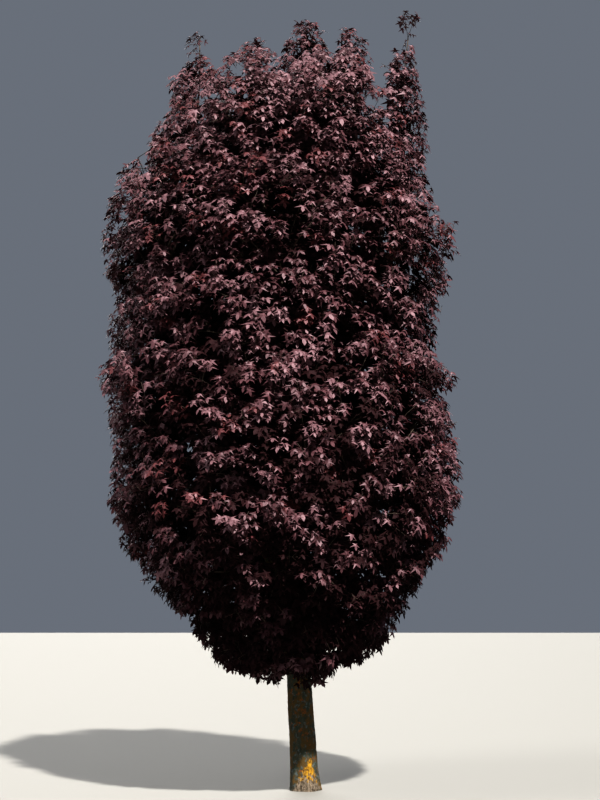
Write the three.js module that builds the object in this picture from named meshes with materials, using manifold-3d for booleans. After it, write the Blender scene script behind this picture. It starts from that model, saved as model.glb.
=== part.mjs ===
// Norway maple tree of upright, columnar habit: one leaning trunk that runs up through the crown,
// a bough to each mass of foliage, and masses that keep to their own space in a crown of one outline.
// Millimetres, +Z up, origin at the middle of the flat cut under the trunk, seen from -Y in front.

import * as THREE from 'three';
import { mergeVertices } from 'three/addons/utils/BufferGeometryUtils.js';
import Module from 'manifold-3d';

const wasm = await Module();
wasm.setup();

// Trunk: a straight taper with a root flare, leaning left as it rises
const TRUNK_TOP = 6250;
const TRUNK_FOOT_RADIUS = 142;
const TRUNK_TIP_RADIUS = 26;
const TRUNK_TAPER = 0.8;
const FLARE_RADIUS = 26;
const FLARE_HEIGHT = 170;
const FLARE_LOBES = 5;
const FLARE_LOBE_SHARE = 0.35;
const TRUNK_SIDES = 14;
const TRUNK_RINGS = 11;
const TRUNK_RING_CROWDING = 1.6;
const TRUNK_AXIS = [[0, 0, 0], [-63, 0, 1100], [-190, 10, 3400], [-150, 0, 4900], [-20, 0, TRUNK_TOP]];

// Outline of the crown: at each height its half width, and how far its middle stands from the foot
const CROWN_OUTLINE = [
  { height: 1110, half: 300, middle: -90 },
  { height: 1340, half: 880, middle: -95 },
  { height: 1760, half: 1180, middle: -150 },
  { height: 2180, half: 1500, middle: -220 },
  { height: 2700, half: 1830, middle: -220 },
  { height: 3300, half: 1930, middle: -210 },
  { height: 4300, half: 2000, middle: -320 },
  { height: 4700, half: 1880, middle: -360 },
  { height: 5100, half: 1880, middle: -330 },
  { height: 5950, half: 2000, middle: -270 },
  { height: 6350, half: 1890, middle: -350 },
  { height: 6800, half: 1780, middle: -330 },
  { height: 7050, half: 1630, middle: -200 },
  { height: 7350, half: 1480, middle: -80 },
  { height: 8100, half: 1380, middle: -90 },
];

// Rings of masses round the trunk. A mass fills an ellipsoid of radius and rise, cut by the crown's
// outline and by its neighbours; pull says how far it pushes them back. Its bough leaves the trunk
// drop below its middle, and each next bough of the ring step higher.
const RINGS = [
  {
    name: 'skirt', count: 5, height: 2120, zigzag: 0, ring: 780, turn: -90,
    radius: 1150, rise: 1150, pull: 850, drop: 920, step: 45, bough: 30, entry: 0.25,
  },
  {
    name: 'waist', count: 6, height: 3500, zigzag: 170, ring: 1120, turn: 0,
    radius: 1150, rise: 1450, pull: 950, drop: 1500, step: 75, bough: 44, entry: 0.9,
  },
  {
    name: 'shoulder', count: 6, height: 5150, zigzag: 170, ring: 1120, turn: 30,
    radius: 1350, rise: 1620, pull: 950, drop: 1600, step: 90, bough: 36, entry: 0.9,
  },
];

// Plumes that stand up out of the crown's top, each with one to three spires over its main body
const PLUMES = [
  {
    name: 'leader', x: 1020, y: 0, height: 6550, radius: 480, rise: 850, drop: 1500,
    spires: [
      { x: 1090, y: 0, height: 7350, radius: 290, rise: 600 },
      { x: 1130, y: 0, height: 7850, radius: 195, rise: 390 },
      { x: 1185, y: 0, height: 8320, radius: 165, rise: 350 },
    ],
  },
  {
    name: 'back_right', x: 350, y: 880, height: 6950, radius: 590, rise: 1050, drop: 1400,
    spires: [{ x: 400, y: 800, height: 7880, radius: 260, rise: 470 }],
  },
  {
    name: 'back_left', x: -640, y: 860, height: 6950, radius: 680, rise: 1000, drop: 1750,
    spires: [{ x: -600, y: 800, height: 7760, radius: 260, rise: 460 }],
  },
  {
    name: 'left', x: -1230, y: 0, height: 6850, radius: 700, rise: 1150, drop: 1600,
    spires: [{ x: -1205, y: 0, height: 7870, radius: 190, rise: 490 }],
  },
  {
    name: 'front_left', x: -600, y: -820, height: 6900, radius: 680, rise: 950, drop: 1300,
    spires: [{ x: -520, y: -690, height: 7600, radius: 245, rise: 420 }],
  },
  {
    name: 'front_right', x: 290, y: -840, height: 6900, radius: 590, rise: 1000, drop: 1800,
    spires: [{ x: 400, y: -690, height: 7740, radius: 270, rise: 430 }],
  },
];
const CENTRE_PLUME = {
  name: 'centre', x: 10, y: 40, height: 7250, radius: 560, rise: 1060,
  spires: [{ x: 20, y: -10, height: 8100, radius: 300, rise: 460 }],
};
const PLUME_PULL = 740;
const SPIRE_PULL = 520;
const PLUME_BOUGH_RADIUS = 27;

// Spaces: heights count for less than widths when neighbours share out the room
const STRETCH = 1.9;
const WALL = 8;
const REACH_STEP = 15;

// Boughs: each leaves the trunk rising, and ends where it enters its mass
const BOUGH_TIP_SHARE = 0.42;
const BOUGH_SIDES = 6;
const BOUGH_STEPS = 5;
const BOUGH_BEND_OUT = 0.62;
const BOUGH_BEND_UP = 0.3;
const ENTRY_INWARD = 0.5;
const PLUME_ENTRY_DOWN = 0.9;
const ENTRY_GAP = 50;
const JOINT_GAP = 0.3;
const JOINT_GAP_FACETED = 0.4;

// Cores: a share of the way to the crown's outside, and of the way to a neighbour's space
const CORE_TO_AIR = 0.82;
const CORE_TO_WALL = 0.9;
const CORE_INWARD_CUT = 0.45;
const CORE_LUMPS = 0.05;
const RING_CORE_DETAIL = 2;
const PLUME_CORE_DETAIL = 1;
const SPIRE_CORE_DETAIL = 0;

// Stem, twigs and leaves of a mass. A leaf stands for a spray, so it is larger than a real one.
const STEM_RADIUS_SHARE = 0.85;
const STEM_TIP_RADIUS = 9;
const STEM_SINK = 20;
const STEM_SIDES = 5;
const TWIG_RADIUS = 11;
const TWIG_TIP_RADIUS = 7;
const TWIG_SIDES = 3;
const BRANCH_STEP = 160;
const BRANCH_BALANCE = 0.3;
const BARE_TWIGS = 1;
const LEAF_LENGTH = 400;
const LEAF_THICKNESS = 14;
const LEAF_SPACING = 464;
const LEAF_SINK = 40;
const LEAF_CORE_SINK = 30;
const LEAF_SHORTEST = 0.9;
const LEAF_LONGEST = 1.3;
const LEAF_STEP = 0.05;
const LEAF_TRIES = 4;
const LEAF_DROOP = 0.95;
const LEAF_OUTWARD = 0.75;
const LEAF_JITTER = 0.2;
const LEAF_FACING_UP = 0.4;
const CANDIDATES = 420;
const CANDIDATE_STRAY = 0.2;
const TIDY_WITHIN = 2;

// Half outline of a leaf: angle from its tip in degrees, and reach from its middle for a length of 1
const LEAF_HALF_OUTLINE = [[0, 0.62], [33, 0.3], [74, 0.46], [180, 0.38]];

const BARK = { color: 0x5a5442, roughness: 0.9, metalness: 0 };
const FOLIAGE = { color: 0x3d2529, roughness: 0.55, metalness: 0 };
const SEED = 20261126;

const UP = new THREE.Vector3(0, 0, 1);
const point = (x, y, z) => new THREE.Vector3(x, y, z);

// A small seeded generator, so that every build gives the same tree
function seeded(seed) {
  let state = seed >>> 0;
  return () => {
    state = (state + 0x6d2b79f5) >>> 0;
    let t = state;
    t = Math.imul(t ^ (t >>> 15), t | 1);
    t ^= t + Math.imul(t ^ (t >>> 7), t | 61);
    return ((t ^ (t >>> 14)) >>> 0) / 4294967296;
  };
}

function toSolid(geometry) {
  const bare = geometry.clone();
  bare.deleteAttribute('normal');
  bare.deleteAttribute('uv');
  const merged = mergeVertices(bare, 0.01);
  return new wasm.Manifold(new wasm.Mesh({
    numProp: 3,
    vertProperties: new Float32Array(merged.attributes.position.array),
    triVerts: new Uint32Array(merged.index.array),
  }));
}

// The largest body of a solid: loose scraps go, and so does the wall of a sealed hollow
function largestBody(solid) {
  const bodies = solid.decompose();
  return bodies.reduce((best, body) => (body.volume() > best.volume() ? body : best));
}

function toMesh(name, solid, finish) {
  const { vertProperties, triVerts } = solid.getMesh();
  const geometry = new THREE.BufferGeometry();
  geometry.setAttribute('position', new THREE.BufferAttribute(new Float32Array(vertProperties), 3));
  geometry.setIndex(new THREE.BufferAttribute(new Uint32Array(triVerts), 1));
  geometry.computeVertexNormals();
  const mesh = new THREE.Mesh(geometry, new THREE.MeshStandardMaterial(finish));
  mesh.name = name;
  return mesh;
}

// Trunk
const trunkCurve = new THREE.CatmullRomCurve3(TRUNK_AXIS.map((place) => point(...place)));

function trunkCentre(height) {
  const share = THREE.MathUtils.clamp(height / TRUNK_TOP, 0, 1);
  let low = 0;
  let high = 1;
  while (high - low > 1e-5) {
    const middle = (low + high) / 2;
    if (trunkCurve.getPoint(middle).z < share * TRUNK_TOP) low = middle;
    else high = middle;
  }
  return trunkCurve.getPoint((low + high) / 2);
}

function trunkRadius(height) {
  const left = Math.max(0, 1 - height / TRUNK_TOP);
  return TRUNK_TIP_RADIUS + (TRUNK_FOOT_RADIUS - TRUNK_TIP_RADIUS) * left ** TRUNK_TAPER;
}

function trunkSolid(grow) {
  const profile = [new THREE.Vector2(0, 0)];
  for (let ring = 0; ring <= TRUNK_RINGS; ring += 1) {
    const height = TRUNK_TOP * (ring / TRUNK_RINGS) ** TRUNK_RING_CROWDING;
    const end = ring === TRUNK_RINGS ? grow : 0;
    profile.push(new THREE.Vector2(trunkRadius(height) + grow, height + end));
  }
  profile.push(new THREE.Vector2(0, TRUNK_TOP + grow));
  const geometry = new THREE.LatheGeometry(profile, TRUNK_SIDES);
  geometry.rotateX(Math.PI / 2);
  const place = geometry.attributes.position;
  for (let i = 0; i < place.count; i += 1) {
    const height = place.getZ(i);
    const reach = Math.hypot(place.getX(i), place.getY(i));
    const angle = Math.atan2(place.getY(i), place.getX(i));
    const lobe = 1 + FLARE_LOBE_SHARE * Math.cos(FLARE_LOBES * angle);
    const flare = reach > 1 ? FLARE_RADIUS * Math.exp(-height / FLARE_HEIGHT) * lobe : 0;
    const centre = trunkCentre(height);
    const scale = reach > 1 ? (reach + flare) / reach : 1;
    place.setXYZ(i, centre.x + place.getX(i) * scale, centre.y + place.getY(i) * scale, height);
  }
  return toSolid(geometry);
}

// Crown
function crownAt(height) {
  const last = CROWN_OUTLINE.length - 1;
  let row = 0;
  while (row < last - 1 && height > CROWN_OUTLINE[row + 1].height) row += 1;
  const [from, to] = [CROWN_OUTLINE[row], CROWN_OUTLINE[row + 1]];
  const share = THREE.MathUtils.clamp((height - from.height) / (to.height - from.height), 0, 1);
  return {
    half: THREE.MathUtils.lerp(from.half, to.half, share),
    middle: THREE.MathUtils.lerp(from.middle, to.middle, share),
  };
}

function inCrown(place) {
  if (place.z < CROWN_OUTLINE[0].height) return false;
  const { half, middle } = crownAt(place.z);
  return Math.hypot(place.x - middle, place.y) <= half;
}

function ringMasses(ring) {
  return Array.from({ length: ring.count }, (_, k) => {
    const angle = THREE.MathUtils.degToRad(ring.turn + (360 * k) / ring.count);
    const height = ring.height + (k % 2 ? ring.zigzag : -ring.zigzag);
    const { middle } = crownAt(height);
    const centre = point(middle + ring.ring * Math.cos(angle), ring.ring * Math.sin(angle), height);
    return {
      name: `${ring.name}_${k + 1}`,
      lobes: [{
        centre, radius: ring.radius, rise: ring.rise, pull: ring.pull, detail: RING_CORE_DETAIL,
      }],
      rootHeight: ring.height - ring.drop + ring.step * ((k * 2) % ring.count),
      boughRadius: ring.bough,
      entryDown: ring.entry,
    };
  });
}

function plumeMass(plume) {
  const main = {
    centre: point(plume.x, plume.y, plume.height), radius: plume.radius, rise: plume.rise,
    pull: PLUME_PULL, detail: PLUME_CORE_DETAIL,
  };
  const spires = plume.spires.map((spire) => ({
    centre: point(spire.x, spire.y, spire.height), radius: spire.radius, rise: spire.rise,
    pull: SPIRE_PULL, detail: SPIRE_CORE_DETAIL,
  }));
  return {
    name: `plume_${plume.name}`,
    lobes: [main, ...spires],
    rootHeight: plume.height - plume.drop,
    boughRadius: PLUME_BOUGH_RADIUS,
    entryDown: PLUME_ENTRY_DOWN,
  };
}

const masses = [...RINGS.flatMap(ringMasses), ...PLUMES.map(plumeMass), plumeMass(CENTRE_PLUME)];
const centreMass = masses[masses.length - 1];

// How near a place is to a lobe; the lower value has the place
function claim(lobe, place) {
  const rise = (place.z - lobe.centre.z) / STRETCH;
  const width = (place.x - lobe.centre.x) ** 2 + (place.y - lobe.centre.y) ** 2;
  return width + rise * rise - lobe.pull * lobe.pull;
}

function inLobe(lobe, place) {
  const rise = (place.z - lobe.centre.z) / lobe.rise;
  const width = Math.hypot(place.x - lobe.centre.x, place.y - lobe.centre.y) / lobe.radius;
  return rise * rise + width * width <= 1;
}

// All the places of one small piece lie on the mass's own side of every neighbour
function ownSide(mass, places) {
  return masses.every((other) => other === mass || other.lobes.every((foreign) => (
    mass.lobes.some((lobe) => {
      const apart = Math.hypot(
        foreign.centre.x - lobe.centre.x,
        foreign.centre.y - lobe.centre.y,
        (foreign.centre.z - lobe.centre.z) / STRETCH,
      );
      return places.every((place) => claim(lobe, place) < claim(foreign, place) - 2 * apart * WALL);
    })
  )));
}

const inShape = (mass, place) => mass.lobes.some((lobe) => inLobe(lobe, place)) && inCrown(place);

// Distance from a lobe's centre to the end of the mass's space, and whether air lies there
function reachOf(mass, lobe, direction) {
  let distance = REACH_STEP;
  for (;;) {
    const place = lobe.centre.clone().addScaledVector(direction, distance);
    if (!ownSide(mass, [place])) return { distance: distance - REACH_STEP, air: false };
    if (!inShape(mass, place)) return { distance: distance - REACH_STEP, air: true };
    distance += REACH_STEP;
  }
}

// A core comes near the crown's outside and its neighbours, and leaves room round the trunk
function coreShare(mass, lobe, direction, air) {
  const inward = trunkCentre(lobe.centre.z).sub(lobe.centre).setZ(0);
  const facing = inward.length() > lobe.radius / 2 ? inward.normalize().dot(direction) : 0;
  return (air ? CORE_TO_AIR : CORE_TO_WALL) - CORE_INWARD_CUT * Math.max(0, facing);
}

function coreBall(mass, lobe, random) {
  const geometry = new THREE.IcosahedronGeometry(1, lobe.detail);
  geometry.deleteAttribute('normal');
  geometry.deleteAttribute('uv');
  const ball = mergeVertices(geometry, 0.001);
  const place = ball.attributes.position;
  for (let i = 0; i < place.count; i += 1) {
    const direction = new THREE.Vector3().fromBufferAttribute(place, i).normalize();
    const reach = reachOf(mass, lobe, direction);
    const lump = 1 + CORE_LUMPS * (2 * random() - 1);
    const share = Math.min(CORE_TO_WALL, coreShare(mass, lobe, direction, reach.air) * lump);
    const end = lobe.centre.clone().addScaledVector(direction, reach.distance * share);
    place.setXYZ(i, end.x, end.y, end.z);
  }
  return ball;
}

function coreFaces(ball) {
  const corner = (k) => new THREE.Vector3().fromBufferAttribute(ball.attributes.position, ball.index.getX(k));
  return Array.from({ length: ball.index.count / 3 }, (_, face) => (
    new THREE.Triangle(corner(3 * face), corner(3 * face + 1), corner(3 * face + 2))
  ));
}

// A place lies in a core when it is nearer to the lobe's middle than the core's face behind it is
function inCore(mass, place, sink) {
  return mass.lobes.some((lobe) => {
    const direction = place.clone().sub(lobe.centre);
    const distance = direction.length();
    if (distance < sink + 1) return true;
    const ray = new THREE.Ray(lobe.centre, direction.normalize());
    return lobe.faces.some(({ a, b, c }) => {
      const hit = ray.intersectTriangle(a, b, c, false, point(0, 0, 0));
      return hit && hit.distanceTo(lobe.centre) > distance + sink;
    });
  });
}

// Boughs
function boughPath(mass) {
  const { centre } = mass.lobes[0];
  const root = trunkCentre(mass.rootHeight);
  const inward = point(root.x - centre.x, root.y - centre.y, 0).normalize();
  const back = inward.multiplyScalar(ENTRY_INWARD).addScaledVector(UP, -mass.entryDown).normalize();
  const { distance, air } = reachOf(mass, mass.lobes[0], back);
  const core = distance * coreShare(mass, mass.lobes[0], back, air);
  const end = centre.clone().addScaledVector(back, core + ENTRY_GAP);
  const bend = root.clone().lerp(end, BOUGH_BEND_OUT);
  bend.z = THREE.MathUtils.lerp(root.z, end.z, BOUGH_BEND_UP);
  return new THREE.QuadraticBezierCurve3(root, bend, end);
}

function polygon(radius, sides) {
  const turn = (k) => (2 * Math.PI * k) / sides;
  return new THREE.Shape(Array.from({ length: sides }, (_, k) => (
    new THREE.Vector2(radius * Math.cos(turn(k)), radius * Math.sin(turn(k)))
  )));
}

// A limb along a path, tapering from its root to its tip
function limbSolid(path, rootRadius, tipRadius, sides, steps) {
  const geometry = new THREE.ExtrudeGeometry(polygon(rootRadius, sides), { steps, extrudePath: path });
  const rings = path.getSpacedPoints(steps);
  const place = geometry.attributes.position;
  for (let i = 0; i < place.count; i += 1) {
    const corner = new THREE.Vector3().fromBufferAttribute(place, i);
    const apart = rings.map((ring) => ring.distanceTo(corner));
    const nearest = apart.indexOf(Math.min(...apart));
    const scale = THREE.MathUtils.lerp(rootRadius, tipRadius, nearest / steps) / rootRadius;
    corner.sub(rings[nearest]).multiplyScalar(scale).add(rings[nearest]);
    place.setXYZ(i, corner.x, corner.y, corner.z);
  }
  return toSolid(geometry);
}

// The same limb, larger by the gap that its neighbours keep to it
function grownBough(mass) {
  const path = mass.bough;
  const tangent = path.getTangent(1);
  const longer = new THREE.QuadraticBezierCurve3(
    path.v0, path.v1, path.v2.clone().addScaledVector(tangent, JOINT_GAP),
  );
  const root = mass.boughRadius + JOINT_GAP_FACETED;
  const tip = mass.boughRadius * BOUGH_TIP_SHARE + JOINT_GAP_FACETED;
  return limbSolid(longer, root, tip, BOUGH_SIDES, BOUGH_STEPS);
}

// Stem, twigs and leaves
function twigSolid(from, to, rootRadius, tipRadius, sides) {
  const length = from.distanceTo(to);
  const geometry = new THREE.CylinderGeometry(tipRadius, rootRadius, length, sides);
  geometry.rotateX(Math.PI / 2);
  geometry.translate(0, 0, length / 2);
  const turn = new THREE.Quaternion().setFromUnitVectors(UP, to.clone().sub(from).normalize());
  geometry.applyQuaternion(turn);
  geometry.translate(from.x, from.y, from.z);
  return toSolid(geometry);
}

function leafOutline() {
  const [tip, ...rest] = LEAF_HALF_OUTLINE;
  const base = rest[rest.length - 1];
  const side = rest.slice(0, -1);
  const other = side.map(([angle, reach]) => [-angle, reach]).reverse();
  return [tip, ...side, base, ...other];
}

const LEAF_RIM = leafOutline().map(([angle, reach]) => {
  const turn = THREE.MathUtils.degToRad(angle);
  return new THREE.Vector2(Math.cos(turn) * reach, Math.sin(turn) * reach);
});
const LEAF_TIP = LEAF_RIM[0].x;

// Where a leaf of one length lies: its tip at the target, its blade square to the way it faces
function leafFrame(tip, along, facing, length) {
  const side = facing.clone().cross(along).normalize();
  const normal = along.clone().cross(side).normalize();
  const frame = new THREE.Matrix4().makeBasis(
    along.clone().multiplyScalar(length), side.multiplyScalar(length), normal,
  );
  frame.setPosition(tip.clone().addScaledVector(along, -LEAF_TIP * length));
  return frame;
}

// A lobed blade: a flat double cone whose rim follows the leaf's outline, thickest in the middle
function leafSolid(frame) {
  const sides = LEAF_RIM.length;
  const geometry = new THREE.SphereGeometry(1, sides, 2);
  geometry.rotateX(Math.PI / 2);
  geometry.deleteAttribute('normal');
  geometry.deleteAttribute('uv');
  const blade = mergeVertices(geometry, 0.001);
  const place = blade.attributes.position;
  for (let i = 0; i < place.count; i += 1) {
    const flat = Math.hypot(place.getX(i), place.getY(i)) > 0.5;
    const turn = Math.atan2(place.getY(i), place.getX(i)) / (2 * Math.PI);
    const rim = LEAF_RIM[(Math.round(turn * sides) + sides) % sides];
    if (flat) place.setXYZ(i, rim.x, rim.y, 0);
    else place.setXYZ(i, 0, 0, (Math.sign(place.getZ(i)) * LEAF_THICKNESS) / 2);
  }
  blade.applyMatrix4(frame);
  return toSolid(blade);
}

// Places at the mass's outside, evenly spread, each of which one leaf's tip reaches
function leafTargets(mass, random) {
  const targets = [];
  mass.lobes.forEach((lobe) => {
    for (let k = 0; k < CANDIDATES; k += 1) {
      const level = 1 - (2 * k + 1) / CANDIDATES;
      const around = k * Math.PI * (3 - Math.sqrt(5)) + CANDIDATE_STRAY * random();
      const flat = Math.sqrt(1 - level * level);
      const direction = point(flat * Math.cos(around), flat * Math.sin(around), level);
      const reach = reachOf(mass, lobe, direction);
      const place = lobe.centre.clone().addScaledVector(direction, reach.distance);
      const spaced = targets.every((other) => other.place.distanceTo(place) > LEAF_SPACING);
      if (reach.air && spaced) targets.push({ place, outward: outwardAt(mass, place) });
    }
  });
  return targets;
}

// Away from the crown's axis low down, and away from the plume's own axis at the top
function outwardAt(mass, place) {
  const { half, middle } = crownAt(place.z);
  const fromAxis = point(place.x - middle, place.y, 0).divideScalar(half);
  const lobe = mass.lobes.reduce((near, other) => (
    other.centre.distanceTo(place) < near.centre.distanceTo(place) ? other : near
  ));
  const fromLobe = place.clone().sub(lobe.centre);
  fromLobe.z *= lobe.radius / lobe.rise;
  return fromLobe.normalize().add(fromAxis).normalize();
}

// Each target joins the branching where the way from the stem's foot is short, by one balance
function nearestNode(nodes, target) {
  const cost = (node) => node.place.distanceTo(target) + BRANCH_BALANCE * node.length;
  return nodes.reduce((best, node) => (cost(node) < cost(best) ? node : best));
}

function growTwig(nodes, parent, target) {
  const length = parent.place.distanceTo(target);
  const steps = Math.max(1, Math.round(length / BRANCH_STEP));
  for (let k = 1; k <= steps; k += 1) {
    const place = parent.place.clone().lerp(target, k / steps);
    nodes.push({ place, length: parent.length + (length * k) / steps });
  }
}

// The stem runs through the middle of each lobe, and on to the top of the last where that is a spire
function stemPlaces(mass) {
  const places = mass.lobes.map((lobe) => lobe.centre);
  const last = mass.lobes[mass.lobes.length - 1];
  if (mass.lobes.length > 1) places.push(last.centre.clone().addScaledVector(UP, last.rise));
  return places;
}

function stemNodes(mass) {
  const nodes = [];
  let length = 0;
  let from = mass.foot;
  stemPlaces(mass).forEach((place) => {
    const run = from.distanceTo(place);
    const steps = Math.max(1, Math.round(run / BRANCH_STEP));
    for (let k = 0; k < steps; k += 1) {
      nodes.push({ place: from.clone().lerp(place, k / steps), length: length + (run * k) / steps });
    }
    length += run;
    from = place;
  });
  nodes.push({ place: from, length });
  return nodes.filter((node) => inCore(mass, node.place, 0));
}

// A leaf is as long as it takes to root in the core, within limits, or else it roots in a bare twig
function leafLength(mass, tip, along) {
  for (let share = LEAF_SHORTEST; share <= LEAF_LONGEST; share += LEAF_STEP) {
    const root = tip.clone().addScaledVector(along, -share * LEAF_LENGTH);
    if (inCore(mass, root, LEAF_CORE_SINK)) return { length: share * LEAF_LENGTH, bare: false };
  }
  return { length: LEAF_LENGTH, bare: true };
}

function leafPieces(mass, nodes, target, limbs, bareLeft, random) {
  for (let attempt = 0; attempt < LEAF_TRIES; attempt += 1) {
    const jitter = point(random() - 0.5, random() - 0.5, random() - 0.5).multiplyScalar(2 * LEAF_JITTER);
    const droop = LEAF_DROOP * (1 - Math.abs(target.outward.z)) * (1 - attempt / LEAF_TRIES);
    const rise = target.outward.z > 0 ? target.outward.z : 0;
    const along = target.outward.clone().multiplyScalar(LEAF_OUTWARD + rise);
    along.addScaledVector(UP, -droop).add(jitter).normalize();
    const facing = target.outward.clone().addScaledVector(UP, LEAF_FACING_UP).add(jitter);
    const { length, bare } = leafLength(mass, target.place, along);
    const root = target.place.clone().addScaledVector(along, (bare ? LEAF_SINK : 0) - length);
    const frame = leafFrame(target.place, along, facing, length);
    const rim = LEAF_RIM.map((corner) => point(corner.x, corner.y, 0).applyMatrix4(frame));
    if (ownSide(mass, [root, ...rim]) && (!bare || bareLeft > 0)) {
      const parent = nearestNode(nodes, root);
      const leaf = leafSolid(frame);
      const twig = twigSolid(parent.place, root, TWIG_RADIUS, TWIG_TIP_RADIUS, TWIG_SIDES);
      const clear = limbs.every((limb) => (
        limb.intersect(leaf).isEmpty() && limb.intersect(twig).isEmpty()
      ));
      if (clear && ownSide(mass, [parent.place])) {
        growTwig(nodes, parent, root);
        return { pieces: [leaf, twig], bare };
      }
    }
  }
  return { pieces: [], bare: false };
}

function massSolid(mass, limbs, random) {
  const pieces = mass.lobes.map((lobe) => {
    const ball = coreBall(mass, lobe, random);
    lobe.faces = coreFaces(ball);
    return toSolid(ball);
  });
  const nodes = stemNodes(mass);
  let from = mass.foot.clone().addScaledVector(mass.footDirection, -STEM_SINK);
  let radius = mass.tipRadius * STEM_RADIUS_SHARE;
  stemPlaces(mass).forEach((place) => {
    pieces.push(twigSolid(from, place, radius, STEM_TIP_RADIUS, STEM_SIDES));
    from = place;
    radius = STEM_TIP_RADIUS;
  });
  let bareLeft = BARE_TWIGS;
  leafTargets(mass, random).forEach((target) => {
    const grown = leafPieces(mass, nodes, target, limbs, bareLeft, random);
    pieces.push(...grown.pieces);
    if (grown.bare) bareLeft -= 1;
  });
  const joined = wasm.Manifold.union(pieces).simplify(TIDY_WITHIN);
  return largestBody(limbs.reduce((body, limb) => body.subtract(limb), joined));
}

// The tree
const tree = new THREE.Group();
const random = seeded(SEED);

const trunk = trunkSolid(0);
const grownTrunk = trunkSolid(JOINT_GAP_FACETED);
tree.add(toMesh('trunk', trunk, BARK));

const grownBoughs = [];
masses.filter((mass) => mass !== centreMass).forEach((mass) => {
  mass.bough = boughPath(mass);
  mass.foot = mass.bough.v2;
  mass.footDirection = mass.bough.getTangent(1);
  mass.tipRadius = mass.boughRadius * BOUGH_TIP_SHARE;
  const whole = limbSolid(mass.bough, mass.boughRadius, mass.tipRadius, BOUGH_SIDES, BOUGH_STEPS);
  const cut = [grownTrunk, ...grownBoughs].reduce((body, limb) => body.subtract(limb), whole);
  tree.add(toMesh(`bough_${mass.name}`, largestBody(cut), BARK));
  grownBoughs.push(grownBough(mass));
});

centreMass.foot = trunkCentre(TRUNK_TOP);
centreMass.footDirection = UP;
centreMass.tipRadius = TRUNK_TIP_RADIUS;

const limbs = [grownTrunk, ...grownBoughs];
masses.forEach((mass) => {
  tree.add(toMesh(`foliage_${mass.name}`, massSolid(mass, limbs, random), FOLIAGE));
});

export default tree;
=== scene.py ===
"""Norway maple tree of upright habit: bark, boughs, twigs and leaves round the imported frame, in metres.

The limbs and the masses' spaces are worked out by the same rules as the solids, and each mass is
then filled with finer twigs and with leaves that grow on from its stem.
"""
import math
from functools import cached_property

import bpy
import numpy as np
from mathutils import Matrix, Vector, noise


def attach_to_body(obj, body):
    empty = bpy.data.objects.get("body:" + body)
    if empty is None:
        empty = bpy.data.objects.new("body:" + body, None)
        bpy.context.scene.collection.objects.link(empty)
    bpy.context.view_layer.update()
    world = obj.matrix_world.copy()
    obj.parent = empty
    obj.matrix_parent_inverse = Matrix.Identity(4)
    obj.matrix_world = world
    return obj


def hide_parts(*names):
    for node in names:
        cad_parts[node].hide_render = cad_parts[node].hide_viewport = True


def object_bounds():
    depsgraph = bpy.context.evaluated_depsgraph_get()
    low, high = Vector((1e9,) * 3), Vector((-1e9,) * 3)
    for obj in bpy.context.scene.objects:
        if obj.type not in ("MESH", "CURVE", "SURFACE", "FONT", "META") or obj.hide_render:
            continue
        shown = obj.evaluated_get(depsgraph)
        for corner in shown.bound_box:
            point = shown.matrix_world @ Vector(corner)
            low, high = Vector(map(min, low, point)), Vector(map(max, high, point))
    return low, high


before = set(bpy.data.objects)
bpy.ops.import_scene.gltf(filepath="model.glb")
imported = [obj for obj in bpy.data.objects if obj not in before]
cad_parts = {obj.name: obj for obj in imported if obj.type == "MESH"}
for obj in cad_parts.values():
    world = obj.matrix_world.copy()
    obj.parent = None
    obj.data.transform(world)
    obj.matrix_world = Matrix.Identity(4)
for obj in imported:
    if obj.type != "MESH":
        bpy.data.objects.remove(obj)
cad_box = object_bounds()

SEED = 20261126
UP = np.array((0.0, 0.0, 1.0))
TREE_TOP = float(cad_box[1][2])

# Photograph, in pixels, and the camera that took it
PHOTO_HEIGHT = 800
HORIZON_ROW = 597
FOCAL_PIXELS = 1288
SENSOR = 36.0
CAMERA_PLACE = (-0.055, -14.0, 2.0)
CAMERA_TILT = math.atan((HORIZON_ROW - PHOTO_HEIGHT / 2) / FOCAL_PIXELS)
VIEW_END = 200.0

# Trunk: a nearly even taper with a root flare, leaning left as it rises and back again higher up
TRUNK_TOP = 6.25
TRUNK_FOOT_RADIUS = 0.142
TRUNK_TIP_RADIUS = 0.026
TRUNK_TAPER = 0.8
FLARE_RADIUS = 0.026
FLARE_HEIGHT = 0.17
FLARE_LOBES = 5
FLARE_LOBE_SHARE = 0.35
TRUNK_AXIS = [(0, 0, 0), (-0.063, 0, 1.1), (-0.19, 0.01, 3.4), (-0.15, 0, 4.9), (-0.02, 0, TRUNK_TOP)]
AXIS_STEPS = 60

# Outline of the crown: at each height its half width, and how far its middle stands from the foot
CROWN_OUTLINE = np.array([
    (1.11, 0.30, -0.090),
    (1.34, 0.88, -0.095),
    (1.76, 1.18, -0.150),
    (2.18, 1.50, -0.220),
    (2.70, 1.83, -0.220),
    (3.30, 1.93, -0.210),
    (4.30, 2.00, -0.320),
    (4.70, 1.88, -0.360),
    (5.10, 1.88, -0.330),
    (5.95, 2.00, -0.270),
    (6.35, 1.89, -0.350),
    (6.80, 1.78, -0.330),
    (7.05, 1.63, -0.200),
    (7.35, 1.48, -0.080),
    (8.10, 1.38, -0.090),
])

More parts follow.
